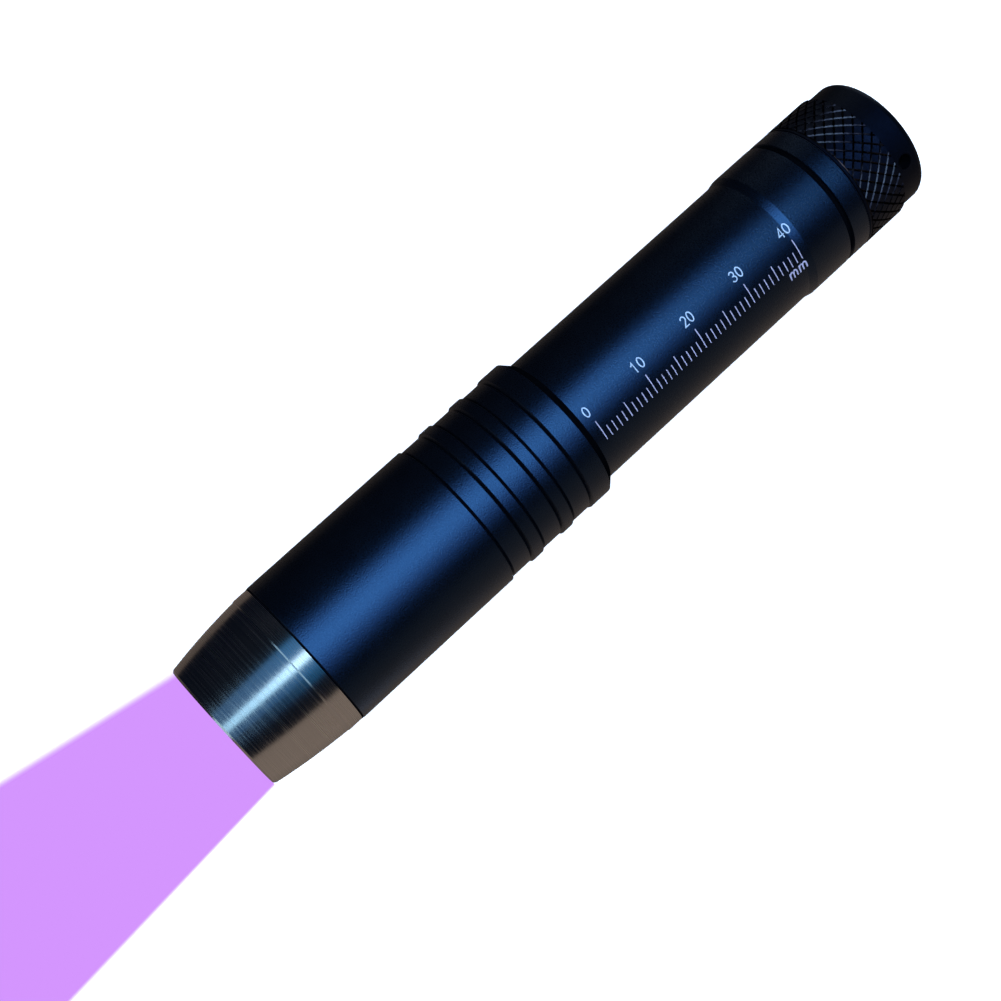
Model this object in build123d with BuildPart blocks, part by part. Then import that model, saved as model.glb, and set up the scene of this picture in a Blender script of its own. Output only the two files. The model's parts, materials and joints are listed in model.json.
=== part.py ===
"""Pocket UV curing torch for one 18650 cell.

A satin steel bezel screws into a black anodised head, the head onto a battery tube, and a knurled tail
cap with a push switch screws into the tube's rear end.

Frame: the torch lies along X, with the light leaving towards -X and the tail cap at +X. The origin is on
its axis at mid length, and +Z is up. A turned piece is a profile in the XY plane, with X along the torch
and Y as the radius, revolved about X.
"""

import math
import os

from build123d import *

os.makedirs("parts", exist_ok=True)

# Whole torch
overall_length = 131.9
front = -overall_length / 2
tail = overall_length / 2

# Fits and edges
slip = 0.03  # radial clearance between pieces that are pushed or screwed together for good
end_gap = 0.2  # free length past the end of a thread
running = 0.05  # radial and end clearance between the tail cap and the tube
seam_chamfer = 0.15  # breaks the edge on each side of a joint line
edge_chamfer = 0.3  # other broken edges

# Outside radii
bezel_front_radius = 10.65
bezel_cone_radius = 12.1
bezel_band_radius = 12.2  # a little under the head, so that the seam shows as a step
head_radius = 12.3
grip_band_radius = 12.0
tube_radius = 10.92
collar_radius = 11.25
collar_groove_radius = 10.65
tube_lip_radius = 11.22
tail_cap_radius = 11.2
knurl_root_radius = 10.98
rim_radius = 10.77
rim_round = 1.2

# Stations along X
bezel_shoulder = -53.3
bezel_facet = 0.2  # length of the narrow facet between cone and band
bezel_swell = 0.18  # how far the cone's side bulges out at mid length
bezel_seam = -50.7
head_end = -1.2
head_end_chamfer = 1.2
collar_start = 40.6
collar_slope = 1.4
collar_groove = 49.1
collar_groove_width = 1.0
tube_end = 53.4
cap_shoulder = tube_end + running
knurl_start = 53.95
knurl_end = 61.0

# Grip: three shallow bands, each with a V groove cut at both of its edges
grip_bands = [(-21.4, -17.9), (-15.4, -11.9), (-9.5, -6.1)]
groove_depth = 0.65
groove_half_width = 0.35
groove_reach = 1.2  # size of the cutting triangle over that of the groove, so that it cuts right through
groove_radius = head_radius - groove_depth
groove_mouth = groove_radius + groove_reach * groove_depth
groove_side = groove_reach * groove_half_width

# Battery: a 65 mm cell of 18.4 mm diameter over its wrap
cell_front = -20.0
cell_length = 64.2
cell_radius = 9.05
wrap_radius = 9.2
wrap_inner_radius = 9.07
wrap_thickness = wrap_radius - wrap_inner_radius
wrap_lip_radius = 7.0
wrap_fold = 0.1  # rounds the turned-over corners
can_wall = 0.28
can_edge_front = 0.4
can_edge_rear = 0.3
crimp_radius = 7.4
gasket_height = 1.2
gasket_bore = 8.1
core_gap = 0.1
washer_thickness = 0.2
washer_bore = 4.0
washer_radius = 8.2
positive_nub = 0.8
positive_nub_radius = 3.0
positive_plate = 0.6
cell_rear = cell_front + cell_length

# Screw joints between bezel, head and tube
bezel_thread_radius = 11.25
bezel_thread_end = -44.7
pill_radius = 10.35
tube_thread_radius = 10.87
tube_front = -16.4
cell_bore_radius = 9.45

# Screw joint between tube and tail cap
cap_bore_radius = 9.95  # inside the tube's rear end
cap_land_radius = cap_bore_radius - running
cap_thread_root_radius = 9.6
cap_thread_front = 47.4
cap_thread_end = 51.2
cap_bore_front = 46.4

# Optics
aperture_radius = 8.7
lens_bore_radius = 9.6
lens_radius = lens_bore_radius - slip
lens_edge_chamfer = 0.2
lip_depth = 0.8
gasket_thickness = 0.5
lens_thickness = 2.0
lens_front = front + lip_depth + gasket_thickness
lens_rear = lens_front + lens_thickness
led_focus = -46.7
reflector_mouth_radius = 9.0
reflector_throat_radius = 2.6
reflector_rear_radius = 4.4
reflector_rim = 1.0  # length of the rim that fills the bezel's bore

# O-rings, each in a groove as deep as its section
head_oring_station = -4.0
head_oring_width = 0.7
tail_oring_station = 52.3
tail_oring_width = 0.74
oring_groove_extra = 0.3  # how much wider a groove is than its ring

# Light engine
board_front = -45.6
board_thickness = 1.6
board_radius = 8.0
board_notch_radius = 1.1
led_size = 3.5
led_height = 0.7
dome_radius = 1.45
pill_front = board_front + board_thickness
pill_rear = -29.0
pill_web = 3.0
pill_pocket_radius = 8.3
wire_offset = 6.2
wire_radius = 0.45
wire_hole_radius = 0.9
wire_end_height = 0.6  # how far a lead stands out of the star board
solder_height = 0.5
solder_radius = 1.25
driver_front = -31.6
driver_thickness = 1.0
driver_rear = driver_front + driver_thickness
driver_radius = 8.72
driver_ring_bore = 7.4

# Contact springs: each sleeve is as thick as the spring's wire
spring_wire = 0.7
driver_spring_foot = 3.0  # inner radius at the board
driver_spring_tip = 2.0  # inner radius at the cell
tail_spring_foot = 4.9
tail_spring_tip = 3.2
tail_spring_gap = 0.02  # keeps the tail spring clear of the cell's wrap

# Tail switch
switch_board_radius = 8.85
switch_board_front = 50.2
switch_board_thickness = 1.0
switch_ring_front = 48.6
switch_ring_bore = 6.5
spanner_hole_offset = 7.7
spanner_hole_radius = 0.6
spanner_hole_depth = 1.0
switch_front = switch_board_front + switch_board_thickness
switch_width = 8.6
switch_corner = 0.6
switch_rear = 57.6
recess_radius = 8.2
recess_floor = 60.9
floor_thickness = 1.0
chamber_radius = 8.0
boot_hole_radius = 6.3
boot_radius = 6.0
boot_flange_radius = 7.9
boot_flange_thickness = 1.0
boot_top = 64.6
boot_crown_radius = 9.5
boot_boss_radius = 2.5
boot_flange_bore = 5.0
boot_washer_bore = 5.2
boot_washer_thickness = 0.8
button_travel = 1.5
plunger_radius = 1.9
plunger_front = 55.6
plunger_rear = 59.6
plunger_chamfer = 0.2
lanyard_station = 62.8
lanyard_hole_radius = 1.2
lanyard_angle = 63.0  # from +Z towards -Y

# Values worked out from the ones above
flange_rear = recess_floor - floor_thickness
flange_front = flange_rear - boot_flange_thickness
wrap_rear = cell_rear + wrap_thickness
tail_spring_front = wrap_rear + tail_spring_gap
can_inside = cell_front + can_wall
core_front = can_inside + gasket_height + core_gap


def ring_points(x_start, x_end, inner, outer):
    """Corners of a plain ring's section."""
    return [(x_start, inner), (x_start, outer), (x_end, outer), (x_end, inner)]


# Bezel: slightly bulging cone, narrow band, and a threaded spigot that holds the optics against the
# front lip
cone_start = front + edge_chamfer
cone_end = bezel_shoulder - bezel_facet
with BuildPart() as bezel:
    with BuildSketch():
        with BuildLine():
            cone_side = ThreePointArc(
                (cone_start, bezel_front_radius),
                ((cone_start + cone_end) / 2, (bezel_front_radius + bezel_cone_radius) / 2 + bezel_swell),
                (cone_end, bezel_cone_radius),
            )
            Polyline(
                cone_side @ 1,
                (bezel_shoulder, bezel_band_radius),
                (bezel_seam - seam_chamfer, bezel_band_radius),
                (bezel_seam, bezel_band_radius - seam_chamfer),
                (bezel_seam, bezel_thread_radius),
                (bezel_thread_end, bezel_thread_radius),
                (bezel_thread_end, lens_bore_radius),
                (front + lip_depth, lens_bore_radius),
                (front + lip_depth, aperture_radius),
                (cone_start, aperture_radius),
                (front, aperture_radius + edge_chamfer),
                (front, bezel_front_radius - edge_chamfer),
                cone_side @ 0,
            )
        make_face()
    revolve(axis=Axis.X)

# Gasket between the front lip and the lens
with BuildPart() as lens_gasket:
    with BuildSketch():
        with BuildLine():
            lens_seat = ring_points(front + lip_depth, lens_front, aperture_radius, lens_radius)
            Polyline(*lens_seat, close=True)
        make_face()
    revolve(axis=Axis.X)

# Lens: flat coated glass with ground edges
with BuildPart() as lens:
    with Locations(Location((lens_front, 0, 0), (0, 90, 0))):
        Cylinder(lens_radius, lens_thickness, align=(Align.CENTER, Align.CENTER, Align.MIN))
    chamfer(lens.edges().filter_by(GeomType.CIRCLE), length=lens_edge_chamfer)

# Reflector: a parabola with its focus at the emitter, in a thin turned shell.
# On a parabola r^2 = 4 f u, the tangents at two points meet at the geometric mean of their u.
mouth_depth = led_focus - lens_rear
focal_length = (math.sqrt(mouth_depth**2 + reflector_mouth_radius**2) - mouth_depth) / 2
vertex = led_focus + focal_length
mouth_u = reflector_mouth_radius**2 / (4 * focal_length)
throat_u = reflector_throat_radius**2 / (4 * focal_length)
throat = vertex - throat_u
with BuildPart() as reflector:
    with BuildSketch():
        with BuildLine():
            Bezier(
                (throat, reflector_throat_radius),
                (
                    vertex - math.sqrt(mouth_u * throat_u),
                    (reflector_mouth_radius + reflector_throat_radius) / 2,
                ),
                (vertex - mouth_u, reflector_mouth_radius),
            )
            Polyline(
                (vertex - mouth_u, reflector_mouth_radius),
                (lens_rear, lens_radius),
                (lens_rear + reflector_rim, lens_radius),
                (lens_rear + 1.5 * reflector_rim, lens_radius - edge_chamfer),
                (throat, reflector_rear_radius),
                (throat, reflector_throat_radius),
            )
        make_face()
    revolve(axis=Axis.X)

# Centring ring: keeps the emitter on the reflector's axis and insulates its pads
with BuildPart() as led_centring_ring:
    with BuildSketch(Plane.YZ.offset(throat)):
        Circle(reflector_rear_radius)
        Rectangle(led_size + end_gap, led_size + end_gap, mode=Mode.SUBTRACT)
    extrude(amount=board_front - throat)

# Emitter: ceramic chip carrier and its silicone dome
with BuildPart() as led_package:
    with BuildSketch(Plane.YZ.offset(board_front - led_height)):
        RectangleRounded(led_size, led_size, 0.2)
    extrude(amount=led_height)

with BuildPart() as led_dome:
    with BuildSketch():
        with BuildLine():
            dome_base = board_front - led_height
            CenterArc((dome_base, 0), dome_radius, 90, 90)
            Polyline((dome_base - dome_radius, 0), (dome_base, 0), (dome_base, dome_radius))
        make_face()
    revolve(axis=Axis.X)

# Metal-core board: a six-notched star with two wire holes
with BuildPart() as led_board:
    with BuildSketch(Plane.YZ.offset(board_front)):
        Circle(board_radius)
        with PolarLocations(board_radius, 6):
            Circle(board_notch_radius, mode=Mode.SUBTRACT)
        with Locations((0, wire_offset), (0, -wire_offset)):
            Circle(wire_hole_radius, mode=Mode.SUBTRACT)
    extrude(amount=board_thickness)

# Pill: brass heat sink with a web in front and a pocket for the driver behind
with BuildPart() as pill:
    with BuildSketch():
        with BuildLine():
            Polyline(
                (pill_front, 0),
                (pill_front, pill_radius - edge_chamfer),
                (pill_front + edge_chamfer, pill_radius),
                (pill_rear, pill_radius),
                (pill_rear, driver_radius + slip),
                (driver_front, driver_radius + slip),
                (driver_front, pill_pocket_radius),
                (pill_front + pill_web, pill_pocket_radius),
                (pill_front + pill_web, 0),
                close=True,
            )
        make_face()
    revolve(axis=Axis.X)
    with BuildSketch(Plane.YZ.offset(pill_front)):
        with Locations((0, wire_offset), (0, -wire_offset)):
            Circle(wire_hole_radius)
    extrude(amount=pill_web, mode=Mode.SUBTRACT)


def wire(side):
    """One insulated lead, straight from the driver board through the pill and the star board."""
    start = board_front - wire_end_height
    with BuildPart() as lead:
        with BuildSketch(Plane.YZ.offset(start)):
            with Locations((0, side * wire_offset)):
                Circle(wire_radius)
        extrude(amount=driver_front - start)
    return lead.part


led_wire_red = wire(1)
led_wire_black = wire(-1)

# Solder: a fillet of metal round each lead on the star board's face
with BuildPart() as led_solder:
    for side in (1, -1):
        lead_plane = Plane(origin=(0, 0, side * wire_offset), x_dir=(1, 0, 0), z_dir=(0, 0, 1))
        with BuildSketch(lead_plane):
            with BuildLine():
                Polyline(
                    (board_front, wire_radius + slip),
                    (board_front - solder_height, wire_radius + slip),
                    (board_front - 0.9 * solder_height, wire_radius + 0.15),
                    (board_front - 0.1 * solder_height, solder_radius),
                    (board_front, solder_radius),
                    close=True,
                )
            make_face()
        revolve(axis=Axis((0, 0, side * wire_offset), (1, 0, 0)))

# Driver board, the parts on its hidden side, its retaining ring and its contact spring
with BuildPart() as driver_board:
    with Locations(Location((driver_front, 0, 0), (0, 90, 0))):
        Cylinder(
            driver_radius,
            driver_thickness,
            align=(Align.CENTER, Align.CENTER, Align.MIN),
        )

# Each part as (Y, Z, width, depth, height above the board)
driver_parts = [
    (2.6, 0.4, 5.2, 5.2, 3.0),
    (-3.0, 1.8, 4.0, 4.9, 1.4),
    (-2.6, -2.6, 3.2, 1.6, 1.0),
    (2.4, -4.2, 3.2, 1.6, 1.2),
    (2.0, 5.0, 2.0, 1.25, 0.8),
    (-5.8, -2.4, 1.25, 2.0, 0.8),
]
with BuildPart() as driver_components:
    for y, z, width, depth, height in driver_parts:
        with BuildSketch(Plane.YZ.offset(driver_front)):
            with Locations((y, z)):
                RectangleRounded(width, depth, 0.15)
        extrude(amount=-height)

with BuildPart() as driver_ring:
    with BuildSketch():
        with BuildLine():
            Polyline(*ring_points(driver_rear, pill_rear, driver_ring_bore, driver_radius), close=True)
        make_face()
    revolve(axis=Axis.X)

with BuildPart() as driver_spring:
    with BuildSketch():
        with BuildLine():
            Polyline(
                (driver_rear, driver_spring_foot),
                (driver_rear, driver_spring_foot + spring_wire),
                (cell_front - positive_nub, driver_spring_tip + spring_wire),
                (cell_front - positive_nub, driver_spring_tip),
                close=True,
            )
        make_face()
    revolve(axis=Axis.X)

# Head housing: grip bands outside, stepped bore inside
pill_bore_radius = pill_radius + slip
tube_socket_radius = tube_thread_radius + slip
with BuildPart() as head_housing:
    with BuildSketch():
        with BuildLine():
            Polyline(
                (bezel_seam, bezel_thread_radius + slip),
                (bezel_seam, head_radius - seam_chamfer),
                (bezel_seam + seam_chamfer, head_radius),
                (head_end - head_end_chamfer, head_radius),
                (head_end, head_radius - head_end_chamfer),
                (head_end, tube_socket_radius),
                (tube_front - end_gap, tube_socket_radius),
                (tube_front - end_gap, pill_bore_radius),
                (bezel_thread_end + end_gap, pill_bore_radius),
                (bezel_thread_end + end_gap, bezel_thread_radius + slip),
                close=True,
            )
        make_face()
        for band_start, band_end in grip_bands:
            with Locations(((band_start + band_end) / 2, grip_band_radius + 1)):
                Rectangle(band_end - band_start, 2, mode=Mode.SUBTRACT)
            for edge in (band_start, band_end):
                Polygon(
                    (edge - groove_side, groove_mouth),
                    (edge, groove_radius),
                    (edge + groove_side, groove_mouth),
                    align=None,
                    mode=Mode.SUBTRACT,
                )
    revolve(axis=Axis.X)

# O-ring that seals the tube in the head
with BuildPart() as head_oring:
    with BuildSketch():
        with Locations((head_oring_station, tube_socket_radius - head_oring_width / 2)):
            Circle(head_oring_width / 2)
    revolve(axis=Axis.X)

# Battery tube: threaded both ends, plain barrel, rear collar with one groove
with BuildPart() as battery_tube:
    with BuildSketch():
        with BuildLine():
            Polyline(
                (tube_front, cell_bore_radius),
                (tube_front, tube_thread_radius - edge_chamfer),
                (tube_front + edge_chamfer, tube_thread_radius),
                (head_end, tube_thread_radius),
                (head_end, tube_radius),
                (collar_start, tube_radius),
                (collar_start + collar_slope, collar_radius),
                (collar_groove, collar_radius),
                (collar_groove + seam_chamfer, collar_groove_radius),
                (collar_groove + collar_groove_width - seam_chamfer, collar_groove_radius),
                (collar_groove + collar_groove_width, tube_lip_radius),
                (tube_end - seam_chamfer, tube_lip_radius),
                (tube_end, tube_lip_radius - seam_chamfer),
                (tube_end, cap_bore_radius + edge_chamfer),
                (tube_end - edge_chamfer, cap_bore_radius),
                (cap_bore_front, cap_bore_radius),
                (cap_bore_front - (cap_bore_radius - cell_bore_radius), cell_bore_radius),
                close=True,
            )
        make_face()
        with Locations((head_oring_station, tube_socket_radius - head_oring_width + 1)):
            Rectangle(head_oring_width + oring_groove_extra, 2, mode=Mode.SUBTRACT)
    revolve(axis=Axis.X)

# Cell: steel can crimped over a gasket and a positive cap, the electrode roll, an insulating washer,
# and a shrink wrap turned over both ends
with BuildPart() as cell_can:
    with BuildSketch():
        with BuildLine():
            Polyline(
                (cell_front, crimp_radius),
                (cell_front, cell_radius - can_edge_front),
                (cell_front + can_edge_front, cell_radius),
                (cell_rear - can_edge_rear, cell_radius),
                (cell_rear, cell_radius - can_edge_rear),
                (cell_rear, 0),
                (cell_rear - can_wall, 0),
                (cell_rear - can_wall, cell_radius - can_wall),
                (can_inside, cell_radius - can_wall),
                (can_inside, crimp_radius),
                close=True,
            )
        make_face()
    revolve(axis=Axis.X)

with BuildPart() as cell_gasket:
    with BuildSketch():
        with BuildLine():
            gasket_radius = cell_radius - can_wall - slip
            gasket_rear = can_inside + gasket_height
            Polyline(*ring_points(can_inside, gasket_rear, gasket_bore, gasket_radius), close=True)
        make_face()
    revolve(axis=Axis.X)

plate_front = can_inside + core_gap
with BuildPart() as cell_positive_cap:
    with BuildSketch():
        with BuildLine():
            Polyline(
                (cell_front - positive_nub, 0),
                (cell_front - positive_nub, positive_nub_radius - edge_chamfer),
                (cell_front - positive_nub + edge_chamfer, positive_nub_radius),
                (plate_front, positive_nub_radius),
                (plate_front, gasket_bore - slip),
                (plate_front + positive_plate, gasket_bore - slip),
                (plate_front + positive_plate, 0),
                close=True,
            )
        make_face()
    revolve(axis=Axis.X)

with BuildPart() as cell_core:
    with Locations(Location((core_front, 0, 0), (0, 90, 0))):
        Cylinder(
            cell_radius - can_wall - core_gap,
            cell_rear - can_wall - core_gap - core_front,
            align=(Align.CENTER, Align.CENTER, Align.MIN),
        )

washer_front = cell_front - washer_thickness
with BuildPart() as cell_washer:
    with BuildSketch():
        with BuildLine():
            Polyline(*ring_points(washer_front, cell_front, washer_bore, washer_radius), close=True)
        make_face()
    revolve(axis=Axis.X)

with BuildPart() as cell_wrap:
    with BuildSketch():
        with BuildLine():
            Polyline(
                (washer_front, wrap_lip_radius),
                (washer_front, wrap_inner_radius),
                (cell_rear, wrap_inner_radius),
                (cell_rear, wrap_lip_radius),
                (wrap_rear, wrap_lip_radius),
                (wrap_rear, wrap_radius - wrap_fold),
                (wrap_rear - wrap_fold, wrap_radius),
                (washer_front - wrap_thickness + wrap_fold, wrap_radius),
                (washer_front - wrap_thickness, wrap_radius - wrap_fold),
                (washer_front - wrap_thickness, wrap_lip_radius),
                close=True,
            )
        make_face()
    revolve(axis=Axis.X)

# Tail cap: threaded spigot, O-ring land, knurled band, smooth rim round a recess for the button
with BuildPart() as tail_cap:
    with BuildSketch():
        with BuildLine():
            Polyline(
                (tail - rim_round, rim_radius),
                (knurl_end, rim_radius),
                (knurl_end, knurl_root_radius),
                (knurl_start, knurl_root_radius),
                (knurl_start, tail_cap_radius),
                (cap_shoulder + seam_chamfer, tail_cap_radius),
                (cap_shoulder, tail_cap_radius - seam_chamfer),
                (cap_shoulder, cap_land_radius),
                (cap_thread_end, cap_land_radius),
                (cap_thread_end, cap_thread_root_radius),
                (cap_thread_front, cap_thread_root_radius),
                (cap_thread_front, switch_board_radius + slip),
                (switch_front, switch_board_radius + slip),
                (switch_front, chamber_radius),
                (flange_rear, chamber_radius),
                (flange_rear, boot_hole_radius),
                (recess_floor, boot_hole_radius),
                (recess_floor, recess_radius),
                (tail - edge_chamfer, recess_radius),
                (tail, recess_radius + edge_chamfer),
                (tail, rim_radius - rim_round),
            )
            CenterArc((tail - rim_round, rim_radius - rim_round), rim_round, 0, 90)
        make_face()
        with Locations((tail_oring_station, cap_land_radius - tail_oring_width + 1)):
            Rectangle(tail_oring_width + oring_groove_extra, 2, mode=Mode.SUBTRACT)
    revolve(axis=Axis.X)
    lanyard_tilt = math.radians(lanyard_angle)
    lanyard_plane = Plane(
        origin=(lanyard_station, 0, 0),
        x_dir=(1, 0, 0),
        z_dir=(0, -math.sin(lanyard_tilt), math.cos(lanyard_tilt)),
    )
    with BuildSketch(lanyard_plane.offset(recess_radius / 2)):
        Circle(lanyard_hole_radius)
    extrude(amount=rim_radius, mode=Mode.SUBTRACT)

# O-ring on the tail cap's land
with BuildPart() as tail_oring:
    with BuildSketch():
        with Locations((tail_oring_station, cap_land_radius - tail_oring_width / 2)):
            Circle(tail_oring_width / 2)
    revolve(axis=Axis.X)

# Switch board with its threaded retaining ring and the spring that meets the cell's rear end
with BuildPart() as switch_board:
    with Locations(Location((switch_board_front, 0, 0), (0, 90, 0))):
        Cylinder(
            switch_board_radius,
            switch_board_thickness,
            align=(Align.CENTER, Align.CENTER, Align.MIN),
        )

with BuildPart() as switch_ring:
    with BuildSketch():
        with BuildLine():
            ring = ring_points(switch_ring_front, switch_board_front, switch_ring_bore, switch_board_radius)
            Polyline(*ring, close=True)
        make_face()
    revolve(axis=Axis.X)
    with BuildSketch(Plane.YZ.offset(switch_ring_front)):
        with Locations((spanner_hole_offset, 0), (-spanner_hole_offset, 0)):
            Circle(spanner_hole_radius)
    extrude(amount=spanner_hole_depth, mode=Mode.SUBTRACT)

with BuildPart() as tail_spring:
    with BuildSketch():
        with BuildLine():
            Polyline(
                (tail_spring_front, tail_spring_tip),
                (tail_spring_front, tail_spring_tip + spring_wire),
                (switch_board_front, tail_spring_foot + spring_wire),
                (switch_board_front, tail_spring_foot),
                close=True,
            )
        make_face()
    revolve(axis=Axis.X)

# Push switch: body with a bore, and the plunger that runs in it
with BuildPart() as switch_body:
    with BuildSketch(Plane.YZ.offset(switch_front)):
        RectangleRounded(switch_width, switch_width, switch_corner)
    extrude(amount=switch_rear - switch_front)
    plunger_depth = switch_rear - plunger_front + button_travel + end_gap
    with BuildSketch(Plane.YZ.offset(switch_rear)):
        Circle(plunger_radius + running)
    extrude(amount=-plunger_depth, mode=Mode.SUBTRACT)

with BuildPart() as switch_plunger:
    with Locations(Location((plunger_front, 0, 0), (0, 90, 0))):
        Cylinder(
            plunger_radius,
            plunger_rear - plunger_front,
            align=(Align.CENTER, Align.CENTER, Align.MIN),
        )
    chamfer(switch_plunger.edges().filter_by(GeomType.CIRCLE), length=plunger_chamfer)

# Rubber boot, in two nodes: the clamped flange, and the dome that the thumb pushes
with BuildPart() as boot_flange:
    with BuildSketch():
        with BuildLine():
            flange = ring_points(flange_front, flange_rear, boot_flange_bore, boot_flange_radius)
            Polyline(*flange, close=True)
        make_face()
    revolve(axis=Axis.X)

boot_skirt = flange_rear + button_travel + seam_chamfer
crown_angle = math.degrees(math.asin(boot_radius / boot_crown_radius))
crown_edge = boot_top - boot_crown_radius * (1 - math.cos(math.radians(crown_angle)))
with BuildPart() as boot_dome:
    with BuildSketch():
        with BuildLine():
            CenterArc((boot_top - boot_crown_radius, 0), boot_crown_radius, 0, crown_angle)
            Polyline(
                (boot_top, 0),
                (plunger_rear, 0),
                (plunger_rear, boot_boss_radius),
                (boot_skirt, boot_boss_radius),
                (boot_skirt, boot_radius),
                (crown_edge, boot_radius),
            )
        make_face()
    revolve(axis=Axis.X)

# Washer that clamps the boot's flange
with BuildPart() as boot_washer:
    with BuildSketch():
        with BuildLine():
            washer_start = flange_front - boot_washer_thickness
            washer = ring_points(washer_start, flange_front, boot_washer_bore, boot_flange_radius)
            Polyline(*washer, close=True)
        make_face()
    revolve(axis=Axis.X)

pieces = {
    "bezel": bezel.part,
    "lens_gasket": lens_gasket.part,
    "lens": lens.part,
    "reflector": reflector.part,
    "led_centring_ring": led_centring_ring.part,
    "led_package": led_package.part,
    "led_dome": led_dome.part,
    "led_board": led_board.part,
    "led_wire_red": led_wire_red,
    "led_wire_black": led_wire_black,
    "led_solder": led_solder.part,
    "pill": pill.part,
    "driver_board": driver_board.part,
    "driver_components": driver_components.part,
    "driver_ring": driver_ring.part,
    "driver_spring": driver_spring.part,
    "head_housing": head_housing.part,
    "head_oring": head_oring.part,
    "battery_tube": battery_tube.part,
    "cell_can": cell_can.part,
    "cell_gasket": cell_gasket.part,
    "cell_core": cell_core.part,
    "cell_positive_cap": cell_positive_cap.part,
    "cell_washer": cell_washer.part,
    "cell_wrap": cell_wrap.part,
    "tail_cap": tail_cap.part,
    "tail_oring": tail_oring.part,
    "switch_ring": switch_ring.part,
    "switch_board": switch_board.part,
    "tail_spring": tail_spring.part,
    "switch_body": switch_body.part,
    "switch_plunger": switch_plunger.part,
    "boot_flange": boot_flange.part,
    "boot_dome": boot_dome.part,
    "boot_washer": boot_washer.part,
}
for name, piece in pieces.items():
    piece.label = name
    export_step(piece, f"parts/{name}.step")
    print(name, round(piece.volume, 1), "mm3")
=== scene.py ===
"""Looks of the ultraviolet pocket torch: materials on the CAD pieces, and the knurl, joint rings (the
black ones are painted shade), thread, printed scale, coil springs, rubber boot and emitter die that the
CAD model leaves plain.

Lengths in this script are in metres, in the torch's own frame: X runs from the bezel (-X) to the tail cap
(+X), and phi is the angle round the torch from +Z towards -Y, the side that faces the camera.
"""

import json
import math

import bmesh
import bpy
from mathutils import Matrix, Vector


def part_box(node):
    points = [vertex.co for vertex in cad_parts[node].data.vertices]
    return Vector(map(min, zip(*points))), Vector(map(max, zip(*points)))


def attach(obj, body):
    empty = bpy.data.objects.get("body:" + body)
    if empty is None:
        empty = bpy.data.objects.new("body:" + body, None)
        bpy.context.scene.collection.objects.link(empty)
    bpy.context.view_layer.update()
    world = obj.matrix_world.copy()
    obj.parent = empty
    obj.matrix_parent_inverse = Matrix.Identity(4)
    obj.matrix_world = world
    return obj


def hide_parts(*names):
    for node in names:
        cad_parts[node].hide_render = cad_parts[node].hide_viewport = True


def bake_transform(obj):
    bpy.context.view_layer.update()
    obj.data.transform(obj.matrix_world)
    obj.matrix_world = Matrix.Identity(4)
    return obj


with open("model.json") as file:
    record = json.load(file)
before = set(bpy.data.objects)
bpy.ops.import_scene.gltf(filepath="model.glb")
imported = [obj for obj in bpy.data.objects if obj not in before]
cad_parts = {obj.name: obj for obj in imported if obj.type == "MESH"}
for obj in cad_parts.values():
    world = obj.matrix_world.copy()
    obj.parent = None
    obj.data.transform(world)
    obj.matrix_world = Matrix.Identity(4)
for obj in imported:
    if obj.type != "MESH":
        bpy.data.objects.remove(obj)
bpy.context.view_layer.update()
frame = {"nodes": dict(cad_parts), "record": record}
nodes = frame["nodes"]

MM = 0.001

# Stations along X and radii, read from the frame or measured from its joint lines
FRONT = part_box("bezel")[0].x
HEAD_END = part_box("head_housing")[1].x
HEAD_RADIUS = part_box("head_housing")[1].z
FLOOR_Z = -HEAD_RADIUS
SCALE_ZERO = HEAD_END + 1.8 * MM
TUBE_RADIUS = 10.92 * MM
COLLAR_START = HEAD_END + 41.8 * MM
COLLAR_SLOPE = 1.4 * MM
COLLAR_RADIUS = 11.25 * MM


# ---------------------------------------------------------------- mesh helpers


def round_point(x, radius, phi):
    """Point at angle phi (radians from +Z towards -Y) round the torch's axis."""
    return Vector((x, -radius * math.sin(phi), radius * math.cos(phi)))


def add_piece(name, bm, body, material, smooth_angle=None, second_material=None):
    """Turns a bmesh into a piece that rides on a body."""
    bmesh.ops.recalc_face_normals(bm, faces=bm.faces)
    mesh = bpy.data.meshes.new(name)
    bm.to_mesh(mesh)
    bm.free()
    piece = bpy.data.objects.new(name, mesh)
    bpy.context.scene.collection.objects.link(piece)
    mesh.materials.append(material)
    if second_material is not None:
        mesh.materials.append(second_material)
    if smooth_angle is not None:
        mesh.shade_smooth()
        mesh.set_sharp_from_angle(angle=math.radians(smooth_angle))
    if body is not None:
        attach(piece, body)
    return piece


def turned(bm, profile, segments):
    """Revolves a closed profile of (x, radius) points about X. Points on the axis have radius 0."""
    rings = []
    for x, radius in profile:
        if radius < 1e-9:
            rings.append([bm.verts.new((x, 0, 0))])
            continue
        step = math.tau / segments
        rings.append([bm.verts.new(round_point(x, radius, i * step)) for i in range(segments)])
    for here, there in zip(rings, rings[1:] + rings[:1]):
        if len(here) == 1 and len(there) == 1:
            continue
        for i in range(segments):
            j = (i + 1) % segments
            a = here[i % len(here)], here[j % len(here)]
            b = there[j % len(there)], there[i % len(there)]
            corners = list(dict.fromkeys((*a, *b)))
            bm.faces.new(corners)


def tube_along(bm, path, radius, sides=12):
    """A closed round wire along a list of points."""
    rings = []
    for i, point in enumerate(path):
        ahead = path[min(i + 1, len(path) - 1)] - path[max(i - 1, 0)]
        ahead.normalize()
        out = Vector((0, point.y, point.z)).normalized()
        side = ahead.cross(out).normalized()
        out = side.cross(ahead)
        step = math.tau / sides
        ring = [
            bm.verts.new(point + radius * (math.cos(k * step) * out + math.sin(k * step) * side))
            for k in range(sides)
        ]
        rings.append(ring)
    for here, there in zip(rings, rings[1:]):
        for k in range(sides):
            bm.faces.new((here[k], here[(k + 1) % sides], there[(k + 1) % sides], there[k]))
    bm.faces.new(rings[0])
    bm.faces.new(rings[-1])


# ---------------------------------------------------------------- material helpers


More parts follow.
